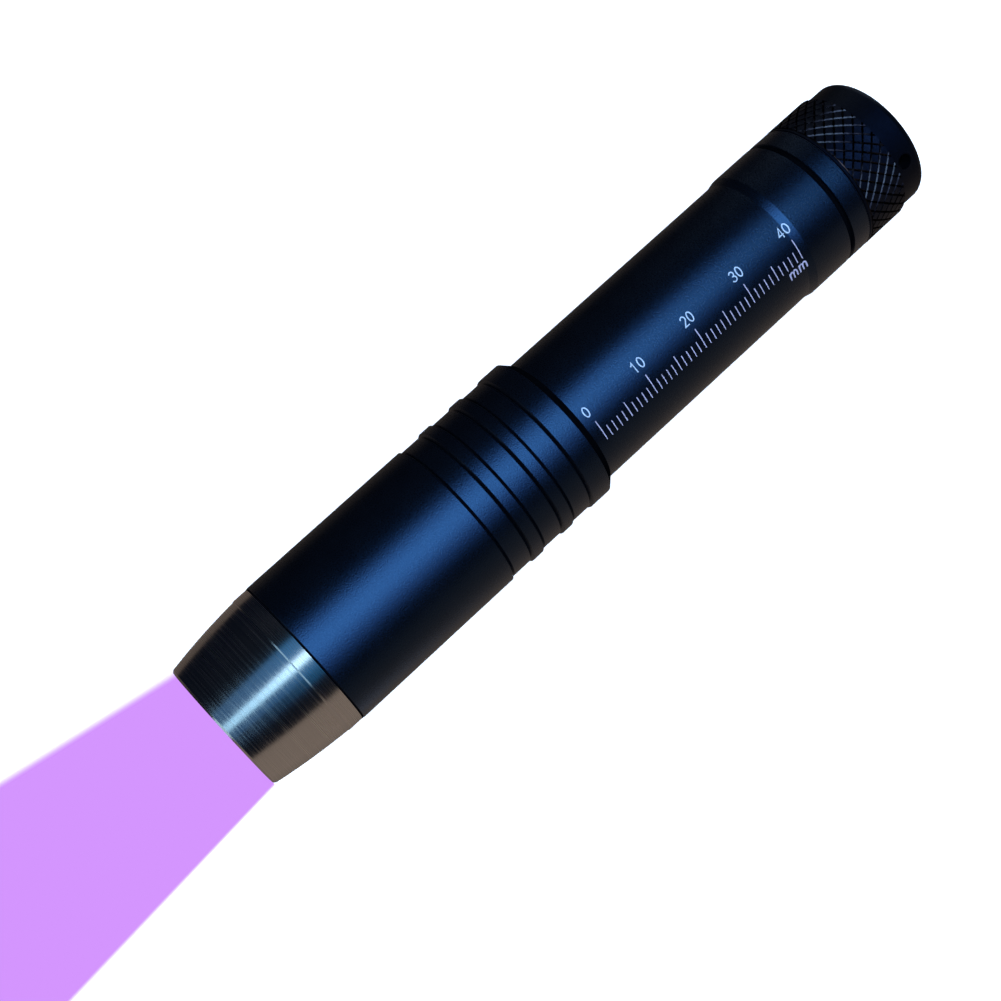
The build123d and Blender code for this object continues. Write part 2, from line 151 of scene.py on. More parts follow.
class Shader:
    """A material with a Principled shader and short ways to add nodes."""

    def __init__(self, name, **values):
        self.material = bpy.data.materials.new(name)
        self.material.use_nodes = True
        self.tree = self.material.node_tree
        self.bsdf = self.tree.nodes["Principled BSDF"]
        for socket, value in values.items():
            self.set(socket.replace("_", " "), value)
        self.place = self.add("ShaderNodeTexCoord").outputs["Object"]

    def set(self, socket, value):
        names = {"IOR Level": "Specular IOR Level"}
        target = self.bsdf.inputs[names.get(socket, socket)]
        if target.type == "RGBA" and len(value) == 3:
            value = (*value, 1)
        target.default_value = value

    def add(self, kind, **settings):
        node = self.tree.nodes.new(kind)
        for key, value in settings.items():
            setattr(node, key, value)
        return node

    def link(self, source, target):
        self.tree.links.new(source, target)

    def scaled(self, x, y, z):
        """Object coordinates stretched by x, y, z."""
        mapping = self.add("ShaderNodeMapping")
        mapping.inputs["Scale"].default_value = (x, y, z)
        self.link(self.place, mapping.inputs["Vector"])
        return mapping.outputs["Vector"]

    def noise(self, size, detail=3.0, stretch=(1, 1, 1)):
        """Noise whose grain is about size metres, finer along axes with a larger stretch."""
        node = self.add("ShaderNodeTexNoise")
        node.inputs["Scale"].default_value = 1 / size
        node.inputs["Detail"].default_value = detail
        vector = self.place if stretch == (1, 1, 1) else self.scaled(*stretch)
        self.link(vector, node.inputs["Vector"])
        return node.outputs["Fac"]

    def ramp(self, source, stops):
        """Colour ramp with stops of (position, colour)."""
        node = self.add("ShaderNodeValToRGB")
        elements = node.color_ramp.elements
        while len(elements) < len(stops):
            elements.new(0.5)
        for element, (position, colour) in zip(elements, stops):
            element.position = position
            element.color = (*colour, 1) if len(colour) == 3 else colour
        self.link(source, node.inputs["Fac"])
        return node.outputs["Color"]

    def span(self, source, low, high):
        """Maps 0..1 noise to low..high."""
        node = self.add("ShaderNodeMapRange")
        node.inputs["From Min"].default_value = 0.25
        node.inputs["From Max"].default_value = 0.75
        node.inputs["To Min"].default_value = low
        node.inputs["To Max"].default_value = high
        self.link(source, node.inputs["Value"])
        return node.outputs["Result"]

    def bump(self, source, height, strength):
        """Normal of a relief that is height metres deep."""
        node = self.add("ShaderNodeBump")
        node.inputs["Strength"].default_value = strength
        node.inputs["Distance"].default_value = height
        self.link(source, node.inputs["Height"])
        return node.outputs["Normal"]

    def use(self, **sources):
        """Links sources to the shader's sockets and hands back the material."""
        for socket, source in sources.items():
            self.link(source, self.bsdf.inputs[socket.replace("_", " ")])
        return self.material


# ---------------------------------------------------------------- materials


def anodised(name, level, sheen, roughness):
    """Bead-blasted aluminium, black anodised: fine satin grain under a cold sheen."""
    s = Shader(name, Metallic=0.0)
    s.set("IOR Level", level)
    s.set("Specular Tint", sheen)
    grain = s.noise(0.2 * MM, detail=3.0)
    cloud = s.noise(5 * MM, detail=2.0)
    colour = s.ramp(cloud, [(0.3, (0.0010, 0.0011, 0.0016)), (0.7, (0.0016, 0.0018, 0.0026))])
    low, high = roughness
    return s.use(
        Base_Color=colour,
        Roughness=s.span(grain, low, high),
        Normal=s.bump(grain, 0.042 * MM, 0.8),
    )


def knurl_flank():
    """Cut flanks of the knurl: dark and smooth, so that they only glint, in broken lines."""
    s = Shader("knurl_flank", Metallic=1.0)
    s.set("Specular Tint", (0.05, 0.05, 0.06))
    grain = s.noise(0.5 * MM, detail=3.0)
    return s.use(
        Base_Color=s.ramp(grain, [(0.35, (0.008, 0.0078, 0.009)), (0.65, (0.024, 0.023, 0.027))]),
        Roughness=s.span(grain, 0.12, 0.36),
    )


def satin_steel():
    """Turned stainless steel. Its marks run round the torch, so the gloss spreads along it."""
    s = Shader("satin_steel", Metallic=1.0, Anisotropic=0.7, Anisotropic_Rotation=0.25)
    marks = s.noise(0.24 * MM, detail=2.0, stretch=(1, 0.004, 0.004))
    colour = s.ramp(marks, [(0.3, (0.53, 0.52, 0.51)), (0.7, (0.59, 0.58, 0.57))])
    tangent = s.add("ShaderNodeTangent", direction_type="RADIAL", axis="X")
    s.link(tangent.outputs["Tangent"], s.bsdf.inputs["Tangent"])
    return s.use(
        Base_Color=colour,
        Roughness=s.span(marks, 0.17, 0.33),
        Normal=s.bump(marks, 0.009 * MM, 0.6),
    )


def plain(name, light, dark, grain, roughness, height, **values):
    """Plastic, rubber, board or plated metal: two tones, grain size, roughness range, bump height."""
    s = Shader(name, **values)
    noise = s.noise(grain, detail=4.0)
    return s.use(
        Base_Color=s.ramp(noise, [(0.3, dark), (0.7, light)]),
        Roughness=s.span(noise, *roughness),
        Normal=s.bump(noise, height, 0.5),
    )


def coated_glass():
    """Window glass with a faint violet anti-reflection coat."""
    s = Shader("coated_glass", Transmission_Weight=1.0, IOR=1.5)
    smudge = s.noise(4 * MM, detail=4.0)
    return s.use(
        Base_Color=s.ramp(smudge, [(0.3, (0.90, 0.88, 0.98)), (0.7, (0.96, 0.95, 1.0))]),
        Roughness=s.span(smudge, 0.0, 0.02),
    )


def glowing(name, colour, strength, grain):
    """A lit surface, a little uneven."""
    s = Shader(name, Roughness=0.5, Emission_Strength=strength)
    noise = s.noise(grain)
    dim = tuple(0.8 * c for c in colour)
    tone = s.ramp(noise, [(0.3, dim), (0.7, colour)])
    return s.use(Base_Color=tone, Emission_Color=tone)


def scale_print(name, colour):
    """Laser-marked print, slightly uneven."""
    s = Shader(name, Roughness=0.6)
    noise = s.noise(0.25 * MM, detail=2.0)
    dim = tuple(0.75 * c for c in colour)
    tone = s.ramp(noise, [(0.3, dim), (0.7, colour)])
    return s.use(Base_Color=tone, Normal=s.bump(noise, 0.01 * MM, 0.3))


materials = {
    "anodised_black": anodised("anodised_black", 0.5, (0.19, 0.49, 1.0), (0.24, 0.34)),
    "satin_steel": satin_steel(),
    "coated_glass": coated_glass(),
    "rubber_black": plain(
        "rubber_black", (0.022, 0.022, 0.023), (0.012, 0.012, 0.013), 0.3 * MM, (0.65, 0.85), 0.01 * MM
    ),
    "boot_rubber": plain(
        "boot_rubber", (0.050, 0.050, 0.053), (0.034, 0.034, 0.037), 0.2 * MM, (0.55, 0.75), 0.015 * MM
    ),
    "reflector_metal": plain(
        "reflector_metal",
        (0.90, 0.91, 0.93),
        (0.84, 0.85, 0.87),
        2 * MM,
        (0.04, 0.09),
        0.004 * MM,
        Metallic=1.0,
    ),
    "led_carrier": plain(
        "led_carrier", (0.80, 0.78, 0.70), (0.70, 0.68, 0.60), 0.2 * MM, (0.35, 0.5), 0.005 * MM
    ),
    "board_white": plain(
        "board_white", (0.80, 0.81, 0.81), (0.74, 0.75, 0.76), 0.8 * MM, (0.3, 0.45), 0.005 * MM
    ),
    "board_green": plain(
        "board_green", (0.030, 0.19, 0.085), (0.022, 0.15, 0.065), 0.9 * MM, (0.3, 0.45), 0.005 * MM
    ),
    "component_black": plain(
        "component_black", (0.035, 0.035, 0.038), (0.020, 0.020, 0.022), 0.3 * MM, (0.45, 0.6), 0.01 * MM
    ),
    "solder": plain(
        "solder", (0.75, 0.75, 0.77), (0.62, 0.62, 0.65), 0.4 * MM, (0.2, 0.35), 0.01 * MM, Metallic=1.0
    ),
    "brass": plain(
        "brass", (0.76, 0.56, 0.27), (0.66, 0.47, 0.20), 0.6 * MM, (0.25, 0.4), 0.006 * MM, Metallic=1.0
    ),
    "wire_red": plain(
        "wire_red", (0.55, 0.03, 0.03), (0.45, 0.02, 0.02), 0.5 * MM, (0.4, 0.55), 0.005 * MM
    ),
    "wire_black": plain(
        "wire_black", (0.03, 0.03, 0.03), (0.02, 0.02, 0.02), 0.5 * MM, (0.4, 0.55), 0.005 * MM
    ),
    "spring_steel": plain(
        "spring_steel",
        (0.72, 0.70, 0.64),
        (0.60, 0.58, 0.52),
        0.3 * MM,
        (0.2, 0.32),
        0.004 * MM,
        Metallic=1.0,
    ),
    "nickel_steel": plain(
        "nickel_steel",
        (0.70, 0.70, 0.68),
        (0.60, 0.60, 0.58),
        0.8 * MM,
        (0.2, 0.32),
        0.004 * MM,
        Metallic=1.0,
    ),
    "electrode_roll": plain(
        "electrode_roll", (0.11, 0.11, 0.12), (0.07, 0.07, 0.08), 0.4 * MM, (0.5, 0.7), 0.01 * MM
    ),
    "paper_white": plain(
        "paper_white", (0.82, 0.82, 0.78), (0.72, 0.72, 0.68), 0.2 * MM, (0.8, 0.95), 0.01 * MM
    ),
    "wrap_violet": plain(
        "wrap_violet", (0.20, 0.13, 0.42), (0.16, 0.10, 0.36), 1.5 * MM, (0.2, 0.32), 0.01 * MM
    ),
    "plastic_white": plain(
        "plastic_white", (0.80, 0.80, 0.78), (0.74, 0.74, 0.72), 0.5 * MM, (0.4, 0.55), 0.006 * MM
    ),
    "plastic_black": plain(
        "plastic_black", (0.032, 0.032, 0.033), (0.020, 0.020, 0.021), 0.4 * MM, (0.4, 0.55), 0.008 * MM
    ),
    "led_lens": coated_glass(),
}
# The tail cap and the knurl's flats are the body's anodised metal in dimmer copies: painted shade for the
# light that fades towards the tail.
cap_shaded_material = anodised("anodised_cap_shaded", 0.08, (0.16, 0.36, 1.0), (0.34, 0.44))
flank_material = knurl_flank()
# Unlit black that reflects nothing: painted shade for the bezel seam, the collar groove and the neck
# chamfer.
shadow_material = anodised("painted_joint_shade", 0.0, (0.5, 0.6, 0.8), (0.6, 0.8))
knurl_flat_shaded_material = anodised("anodised_knurl_shaded", 0.09, (0.10, 0.32, 1.0), (0.34, 0.44))
tick_material = scale_print("scale_ticks", (0.53, 0.44, 0.55))
figure_material = scale_print("scale_figures", (0.55, 0.62, 0.70))
die_material = glowing("led_die", (0.45, 0.12, 1.0), 12.0, 0.3 * MM)

for part in frame["record"]["subparts"]:
    node = nodes[part["node"]]
    for material_slot in node.material_slots:
        material_slot.material = materials[part["material_slot"]]
# The tail cap gets the dimmer anodised copy: painted shade.
for material_slot in nodes["tail_cap"].material_slots:
    material_slot.material = cap_shaded_material


# ---------------------------------------------------------------- knurl


def knurl_band():
    """Diamond knurl: flat-topped diamonds between two families of V grooves at 45 degrees."""
    lines = 36
    top = 11.24 * MM
    root = 11.12 * MM
    sunk = 10.85 * MM
    start = HEAD_END + 55.2 * MM
    end = HEAD_END + 62.2 * MM
    period = math.tau * top / lines
    inset = 0.12  # half a groove, as a share of a diamond's side
    first_row = start - 0.25 * MM
    phase = 0.052
    bm = bmesh.new()
    crossings = {}

    def vertex(k, m, radius):
        x = first_row + (k - m) * period / 2
        return bm.verts.new(round_point(x, radius, phase + (k + m) * period / 2 / top))

    def crossing(k, m):
        key = (k - m, (k + m) % (2 * lines))
        if key not in crossings:
            crossings[key] = vertex(k, m, root)
        return crossings[key]

    rows = math.ceil((end - start) / (period / 2)) + 2
    for row in range(-2, rows):
        for column in range(lines):
            k = column + math.ceil(row / 2)
            m = column - math.floor(row / 2)
            groove = [crossing(k, m), crossing(k + 1, m), crossing(k + 1, m + 1), crossing(k, m + 1)]
            low, high = inset, 1 - inset
            corners = [(low, low), (high, low), (high, high), (low, high)]
            flat = [vertex(k + a, m + b, top) for a, b in corners]
            bm.faces.new(flat)
            for i in range(4):
                j = (i + 1) % 4
                flank = bm.faces.new((groove[i], groove[j], flat[j], flat[i]))
                flank.material_index = 1
    for x, side in ((start, -1), (end, 1)):
        geometry = bm.verts[:] + bm.edges[:] + bm.faces[:]
        bmesh.ops.bisect_plane(
            bm, geom=geometry, plane_co=(x, 0, 0), plane_no=(side, 0, 0), clear_outer=True
        )
        rim = [e for e in bm.edges if e.is_boundary and abs(e.verts[0].co.x - x) < 1e-6]
        grown = bmesh.ops.extrude_edge_only(bm, edges=rim)
        for v in grown["geom"]:
            if isinstance(v, bmesh.types.BMVert):
                ratio = sunk / math.hypot(v.co.y, v.co.z)
                v.co = Vector((v.co.x, v.co.y * ratio, v.co.z * ratio))
    return bm


knurl = add_piece(
    "knurl_band",
    knurl_band(),
    "tail_cap",
    knurl_flat_shaded_material,
    second_material=flank_material,
)


# ---------------------------------------------------------------- joint lines, darkened with rings of painted shade


def narrow_ring(name, body, material, points):
    """A turned ring from (x, radius) points, x in mm from the head's rear end."""
    bm = bmesh.new()
    turned(bm, [(HEAD_END + x * MM, r * MM) for x, r in points], 192)
    return add_piece(name, bm, body, material, 30)


seam_profile = [(-49.72, 12.15), (-49.66, 12.24), (-49.42, 12.24), (-49.36, 12.1)]
groove_profile = [(50.34, 10.60), (50.44, 10.78), (50.80, 10.88), (51.16, 10.78), (51.26, 10.60)]
neck_profile = [(-1.17, 12.29), (0.03, 11.13), (0.03, 10.95), (-1.17, 12.15)]
edge_profile = [(55.06, 11.10), (55.08, 11.19), (55.16, 11.25), (55.24, 11.25), (55.26, 11.10)]
# The black rings over the bezel seam, the collar groove and the head's neck chamfer are painted shade.
narrow_ring("seam_shade_ring", "torch_body", shadow_material, seam_profile)
narrow_ring("groove_shade_ring", "torch_body", shadow_material, groove_profile)
narrow_ring("neck_shade_ring", "torch_body", shadow_material, neck_profile)
knurl_edge = narrow_ring("knurl_edge", "tail_cap", flank_material, edge_profile)


# ---------------------------------------------------------------- thread on the tail cap's spigot


def thread_ridge():
    """A single-start ridge with 1 mm pitch and 60 degree flanks."""
    pitch = 1.0 * MM
    turns = 3.0
    steps = 72
    run_out = 12
    root = 9.58 * MM
    crest = 9.88 * MM
    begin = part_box("tail_cap")[0].x + 0.45 * MM
    profile = [(-0.42 * MM, 0.0), (-0.10 * MM, 1.0), (0.10 * MM, 1.0), (0.42 * MM, 0.0)]
    bm = bmesh.new()
    rings = []
    total = int(turns * steps)
    for i in range(total + 1):
        fade = min(1.0, i / run_out, (total - i) / run_out)
        phi = math.tau * i / steps
        x = begin + pitch * i / steps
        ring = []
        for dx, height in profile:
            radius = root + (crest - root) * height * fade
            ring.append(bm.verts.new(round_point(x + dx, radius, -phi)))
        ring.append(bm.verts.new(round_point(x, root - 0.2 * MM, -phi)))
        rings.append(ring)
    for here, there in zip(rings, rings[1:]):
        for k in range(len(here)):
            j = (k + 1) % len(here)
            bm.faces.new((here[k], here[j], there[j], there[k]))
    bm.faces.new(rings[0])
    bm.faces.new(rings[-1])
    return bm


add_piece("cap_thread", thread_ridge(), "tail_cap", materials["anodised_black"], 35)


# ---------------------------------------------------------------- printed scale


PRINT_HEIGHT = 0.02 * MM
PRINT_DEPTH = 0.03 * MM
ROW_STEP = 0.35 * MM
STROKE = 0.15 * MM
PRINT_SLANT = 0.006  # the print climbs a little towards the tail


def surface_radius(x):
    """Radius of the tube, which rises to its collar under the last figure."""
    rise = min(1.0, max(0.0, (x - COLLAR_START) / COLLAR_SLOPE))
    return TUBE_RADIUS + (COLLAR_RADIUS - TUBE_RADIUS) * rise


def wrap_on_tube(bm):
    """Moves flat artwork, with x along the torch and y up the print, on to the tube."""
    for v in bm.verts:
        height = v.co.y + PRINT_SLANT * (v.co.x - SCALE_ZERO)
        v.co = round_point(v.co.x, surface_radius(v.co.x) + v.co.z, -height / TUBE_RADIUS)


def stroke(bm, points, width, closed=False):
    """A line of constant width through points, with mitred corners."""
    count = len(points)
    pairs = []
    for i, point in enumerate(points):
        before = points[i - 1] if closed or i > 0 else None
        after = points[(i + 1) % count] if closed or i < count - 1 else None
        ways = []
        if before is not None:
            ways.append((point - before).normalized())
        if after is not None:
            ways.append((after - point).normalized())
        along = sum(ways, Vector((0, 0))).normalized()
        normal = Vector((-along.y, along.x))
        miter = width / 2 / max(0.5, normal.dot(Vector((-ways[0].y, ways[0].x))))
        pairs.append([bm.verts.new((*(point + s * miter * normal), 0)) for s in (1, -1)])
    ends = pairs[1:] + pairs[:1] if closed else pairs[1:]
    for here, there in zip(pairs, ends):
        bm.faces.new((here[0], here[1], there[1], there[0]))


def ellipse(centre_x, centre_y, half_x, half_y, start, end, count=12):
    """Points of an elliptical arc, angles in degrees."""
    points = []
    for i in range(count + 1):
        angle = math.radians(start + (end - start) * i / count)
        points.append((centre_x + half_x * math.cos(angle), centre_y + half_y * math.sin(angle)))
    return points


# Lines of each figure: height 1, drawn from x = 0
FIGURES = {
    "0": [ellipse(0.29, 0.5, 0.22, 0.44, 90, 430, 22)],
    "1": [[(0.04, 0.74), (0.16, 0.79), (0.28, 0.97), (0.28, 0.0)]],
    "2": [ellipse(0.29, 0.69, 0.21, 0.25, 165, -35) + [(0.09, 0.05), (0.54, 0.05)]],
    "3": [
        ellipse(0.27, 0.72, 0.20, 0.22, 160, -90) + [(0.22, 0.5)],
        [(0.22, 0.5)] + ellipse(0.27, 0.28, 0.23, 0.23, 90, -160),
    ],
    "4": [[(0.42, 0.0), (0.42, 0.94), (0.05, 0.30), (0.56, 0.30)]],
    "m": [
        [(0.0, 0.0), (0.0, 0.95)],
        [(0.0, 0.55)] + ellipse(0.28, 0.62, 0.23, 0.30, 160, 0, 6) + [(0.51, 0.0)],
        [(0.51, 0.55)] + ellipse(0.79, 0.62, 0.23, 0.30, 160, 0, 6) + [(1.02, 0.0)],
    ],
}
ADVANCE = {"m": 1.46}


def add_figures(bm, text, centre_x, base_y, height, width):
    """Adds figures with their base line at base_y, centred on centre_x."""
    advances = [ADVANCE.get(letter, 0.66) for letter in text]
    x = -sum(advances) / 2
    for letter, advance in zip(text, advances):
        for line in FIGURES[letter]:
            points = [
                Vector((centre_x + height * (x + 0.04 + px), base_y + height * py))
                for px, py in line
            ]
            closed = letter == "0"
            stroke(bm, points[:-1] if closed else points, width, closed)
        x += advance


def raised_print(name, bm, material):
    """Cuts flat artwork so that it bends with the tube, gives it a depth and wraps it on."""
    high = max(v.co.y for v in bm.verts)
    low = min(v.co.y for v in bm.verts)
    cuts = [((0, low + i * ROW_STEP, 0), (0, 1, 0)) for i in range(1, int((high - low) / ROW_STEP) + 1)]
    cuts += [((x, 0, 0), (1, 0, 0)) for x in (COLLAR_START, COLLAR_START + COLLAR_SLOPE)]
    for point, normal in cuts:
        geometry = bm.verts[:] + bm.edges[:] + bm.faces[:]
        bmesh.ops.bisect_plane(bm, geom=geometry, plane_co=point, plane_no=normal)
    for v in bm.verts:
        v.co.z = PRINT_HEIGHT
    rim = [e for e in bm.edges if e.is_boundary]
    grown = bmesh.ops.extrude_edge_only(bm, edges=rim)
    for v in grown["geom"]:
        if isinstance(v, bmesh.types.BMVert):
            v.co.z = -PRINT_DEPTH
    wrap_on_tube(bm)
    add_piece(name, bm, "torch_body", material)


def scale_y(degrees):
    """Height in flat artwork of an angle round the tube."""
    return -math.radians(degrees) * TUBE_RADIUS


def printed_scale():
    """Millimetre scale from 0 to 40 with figures at every ten, and the unit."""
    foot = scale_y(65.8)
    tops = {10: scale_y(47.6), 5: scale_y(52), 1: scale_y(56)}
    bm = bmesh.new()
    for i in range(41):
        step = 10 if i % 10 == 0 else 5 if i % 5 == 0 else 1
        x = SCALE_ZERO + i * MM
        stroke(bm, [Vector((x, foot)), Vector((x, tops[step]))], STROKE)
    raised_print("scale_marks", bm, tick_material)
    bm = bmesh.new()
    for figure in range(0, 50, 10):
        x = SCALE_ZERO + figure * MM - (0.25 * MM if figure in (0, 40) else 0)
        add_figures(bm, str(figure), x, scale_y(42.4), 1.75 * MM, 1.2 * STROKE)
    raised_print("scale_figures", bm, figure_material)
    bm = bmesh.new()
    add_figures(bm, "mm", SCALE_ZERO + 38.85 * MM, scale_y(75), 1.3 * MM, 1.6 * STROKE)
    raised_print("scale_unit", bm, tick_material)


printed_scale()


# ---------------------------------------------------------------- springs


def coil_path(start, end, start_radius, end_radius, turns, flat_turns=1.0):
    """Points of a conical coil whose end turns lie flat."""
    steps = 28
    count = int((turns + 2 * flat_turns) * steps)
    path = []
    for i in range(count + 1):
        turn = i / steps
        share = min(1.0, max(0.0, (turn - flat_turns) / turns))
        radius = start_radius + (end_radius - start_radius) * share
        path.append(round_point(start + (end - start) * share, radius, math.tau * turn))
    return path


def coil_spring(name, node, body, start_radius, end_radius, turns, wire):
    """A wound spring in the place of its CAD sleeve."""
    low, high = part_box(node)
    bm = bmesh.new()
    path = coil_path(low.x + wire, high.x - wire, start_radius, end_radius, turns)
    tube_along(bm, path, wire)
    piece = add_piece(name, bm, body, materials["spring_steel"], 60)
    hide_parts(node)


coil_spring("driver_coil", "driver_spring", "torch_body", 3.3 * MM, 2.2 * MM, 5.0, 0.35 * MM)
coil_spring("tail_coil", "tail_spring", "tail_module", 3.5 * MM, 5.2 * MM, 3.0, 0.4 * MM)


# ---------------------------------------------------------------- rubber boot


def arc(centre, radius, start, end, count):
    """Points of an arc in the (x, radius) plane, angles in degrees from +X."""
    cx, cr = centre
    points = []
    for i in range(count + 1):
        angle = math.radians(start + (end - start) * i / count)
        points.append((cx + radius * math.cos(angle), cr + radius * math.sin(angle)))
    return points


def rubber_boot():
    """One thin moulded shell: clamped flange, neck with a slight fold, and crowned top."""
    flange_low, flange_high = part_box("boot_flange")
    dome_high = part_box("boot_dome")[1]
    outer = dome_high.z
    wall = 0.8 * MM
    crown = 12 * MM
    corner = 1.1 * MM
    top = dome_high.x
    flange_x = flange_high.x
    crown_x = top - crown
    reach = outer - corner
    corner_x = crown_x + math.sqrt((crown - corner) ** 2 - reach**2)
    meet = math.degrees(math.atan2(reach, corner_x - crown_x))
    ring_low, ring_high, ring_depth = 2.5 * MM, 3.3 * MM, 0.25 * MM
    skin = []
    for x, radius in arc((crown_x, 0), crown, 0, meet, 16):
        skin.append((x - ring_depth if ring_low < radius < ring_high else x, radius))
    skin += arc((corner_x, reach), corner, meet, 90, 6)[1:]
    fold_x = flange_x + 0.9 * MM
    skin += [(fold_x - 0.35 * MM, outer + 0.05 * MM), (flange_x + 0.1 * MM, outer + 0.12 * MM)]
    skin += [(flange_x - 0.02 * MM, flange_high.z), (flange_low.x, flange_high.z)]
    skin += [(flange_low.x, outer - wall), (fold_x, outer - wall)]
    skin += [(corner_x - 0.3 * MM, reach)]
    skin += [(top - wall - 0.6 * MM, reach - 1.2 * MM), (top - wall, 0)]
    bm = bmesh.new()
    turned(bm, skin, 96)
    piece = add_piece("switch_boot", bm, None, materials["boot_rubber"], 50)
    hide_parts("boot_flange", "boot_dome")
    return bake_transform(piece)


def boot_boss():
    """The boot's solid centre, which pushes the plunger."""
    low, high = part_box("boot_dome")
    bm = bmesh.new()
    radius = 2.4 * MM
    bevel = 0.3 * MM
    profile = [
        (low.x, 0),
        (low.x, radius - bevel),
        (low.x + bevel, radius),
        (high.x - 1.0 * MM, radius),
        (high.x - 0.9 * MM, 0),
    ]
    turned(bm, profile, 48)
    return add_piece("boot_boss", bm, "button", materials["boot_rubber"], 40)


rubber_boot()
boot_boss()


# ---------------------------------------------------------------- emitter


def emitter_die():
    """Lit chip under the dome."""
    side, thickness, bevel = 2.0 * MM, 0.12 * MM, 0.03 * MM
    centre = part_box("led_package")[0].x - 0.03 * MM
    bm = bmesh.new()
    bmesh.ops.create_cube(bm, size=1.0)
    for v in bm.verts:
        v.co = Vector((centre + v.co.x * thickness, side * v.co.y, side * v.co.z))
    bmesh.ops.bevel(bm, geom=bm.edges[:], offset=bevel, segments=1, affect="EDGES")
    return add_piece("led_die", bm, "torch_body", die_material)


emitter_die()


# ---------------------------------------------------------------- floor, light pool, lights, camera


def make_stage_mesh(name, points, material):
    """A flat stage piece that the torch neither mirrors nor takes light from."""
    mesh = bpy.data.meshes.new(name)
    mesh.from_pydata(points, [], [tuple(range(len(points)))])
    mesh.materials.append(material)
    piece = bpy.data.objects.new(name, mesh)
    bpy.context.scene.collection.objects.link(piece)
    piece.visible_glossy = False
    piece.visible_diffuse = False
    piece.visible_shadow = False


def floor_material():
    """White paper: mostly evenly lit, so that shadows on it stay faint."""
    s = Shader("floor", Roughness=0.9, Emission_Strength=0.82)
    s.set("IOR Level", 0.0)
    s.set("Emission Color", (1.0, 1.0, 1.0))
    noise = s.noise(0.2, detail=2.0)
    return s.use(Base_Color=s.ramp(noise, [(0.3, (0.80, 0.80, 0.80)), (0.7, (0.84, 0.84, 0.84))]))


POOL_NEAR = FRONT - 0.2 * MM
POOL_FAR = 110 * MM
POOL_SIDES = {  # offset at the bezel, outward slope, softness at the bezel and how it grows
    1: (21.2 * MM, 0.21, 2.6 * MM, 0.0),
    -1: (6.2 * MM, 0.085, 0.8 * MM, 0.01),
}


def pool_material():
    """Violet light on the floor: even, with soft sides that spread with distance."""
    material = bpy.data.materials.new("light_pool")
    material.use_nodes = True
    tree = material.node_tree
    tree.nodes.clear()
    link = tree.links.new

    def maths(operation, a, b):
        node = tree.nodes.new("ShaderNodeMath")
        node.operation = operation
        for source, target in ((a, node.inputs[0]), (b, node.inputs[1])):
            if isinstance(source, (int, float)):
                target.default_value = source
            else:
                link(source, target)
        return node.outputs[0]

    place = tree.nodes.new("ShaderNodeTexCoord")
    split = tree.nodes.new("ShaderNodeSeparateXYZ")
    link(place.outputs["Object"], split.inputs[0])
    distance = maths("SUBTRACT", POOL_NEAR, split.outputs["X"])
    cover = None
    for side, (offset, slope, softness, growth) in POOL_SIDES.items():
        edge = maths("ADD", offset, maths("MULTIPLY", slope, distance))
        inside = maths("SUBTRACT", edge, maths("MULTIPLY", side, split.outputs["Y"]))
        blur = maths("ADD", softness, maths("MULTIPLY", growth, distance))
        fade = tree.nodes.new("ShaderNodeMapRange")
        fade.interpolation_type = "SMOOTHSTEP"
        link(maths("DIVIDE", inside, blur), fade.inputs["Value"])
        share = fade.outputs["Result"]
        cover = share if cover is None else maths("MULTIPLY", cover, share)
    glow = tree.nodes.new("ShaderNodeEmission")
    glow.inputs["Color"].default_value = (0.658, 0.301, 0.991, 1)
    mix = tree.nodes.new("ShaderNodeMixShader")
    link(cover, mix.inputs["Fac"])
    link(tree.nodes.new("ShaderNodeBsdfTransparent").outputs[0], mix.inputs[1])
    link(glow.outputs[0], mix.inputs[2])
    link(mix.outputs[0], tree.nodes.new("ShaderNodeOutputMaterial").inputs["Surface"])
    return material


FLOOR_HALF = 1.2
FLOOR_CORNERS = ((-1, -1), (1, -1), (1, 1), (-1, 1))
floor_points = [(x * FLOOR_HALF, y * FLOOR_HALF, FLOOR_Z) for x, y in FLOOR_CORNERS]
make_stage_mesh("floor", floor_points, floor_material())

pool_points = []
for side, distance in ((-1, 0), (1, 0), (1, POOL_FAR), (-1, POOL_FAR)):
    offset, slope, _, _ = POOL_SIDES[side]
    pool_points.append((POOL_NEAR - distance, side * (offset + slope * distance), FLOOR_Z + 0.1 * MM))
make_stage_mesh("light_pool", pool_points, pool_material())

CAMERA_LENS = 60  # millimetres, as is the sensor's width
SENSOR_WIDTH = 36
CAMERA_LEAN = math.radians(30.0)
CAMERA_DISTANCE = 238.0 * MM
CAMERA_FOOT = HEAD_END - 58.68 * MM
CAMERA_TILT = math.radians(10.65)
CAMERA_SIDE = math.radians(0.632)
CAMERA_ROLL = math.radians(42.262)

toward = Vector((0, -math.sin(CAMERA_LEAN), math.cos(CAMERA_LEAN)))
across = Vector((0, math.cos(CAMERA_LEAN), math.sin(CAMERA_LEAN)))
along = Vector((1, 0, 0))


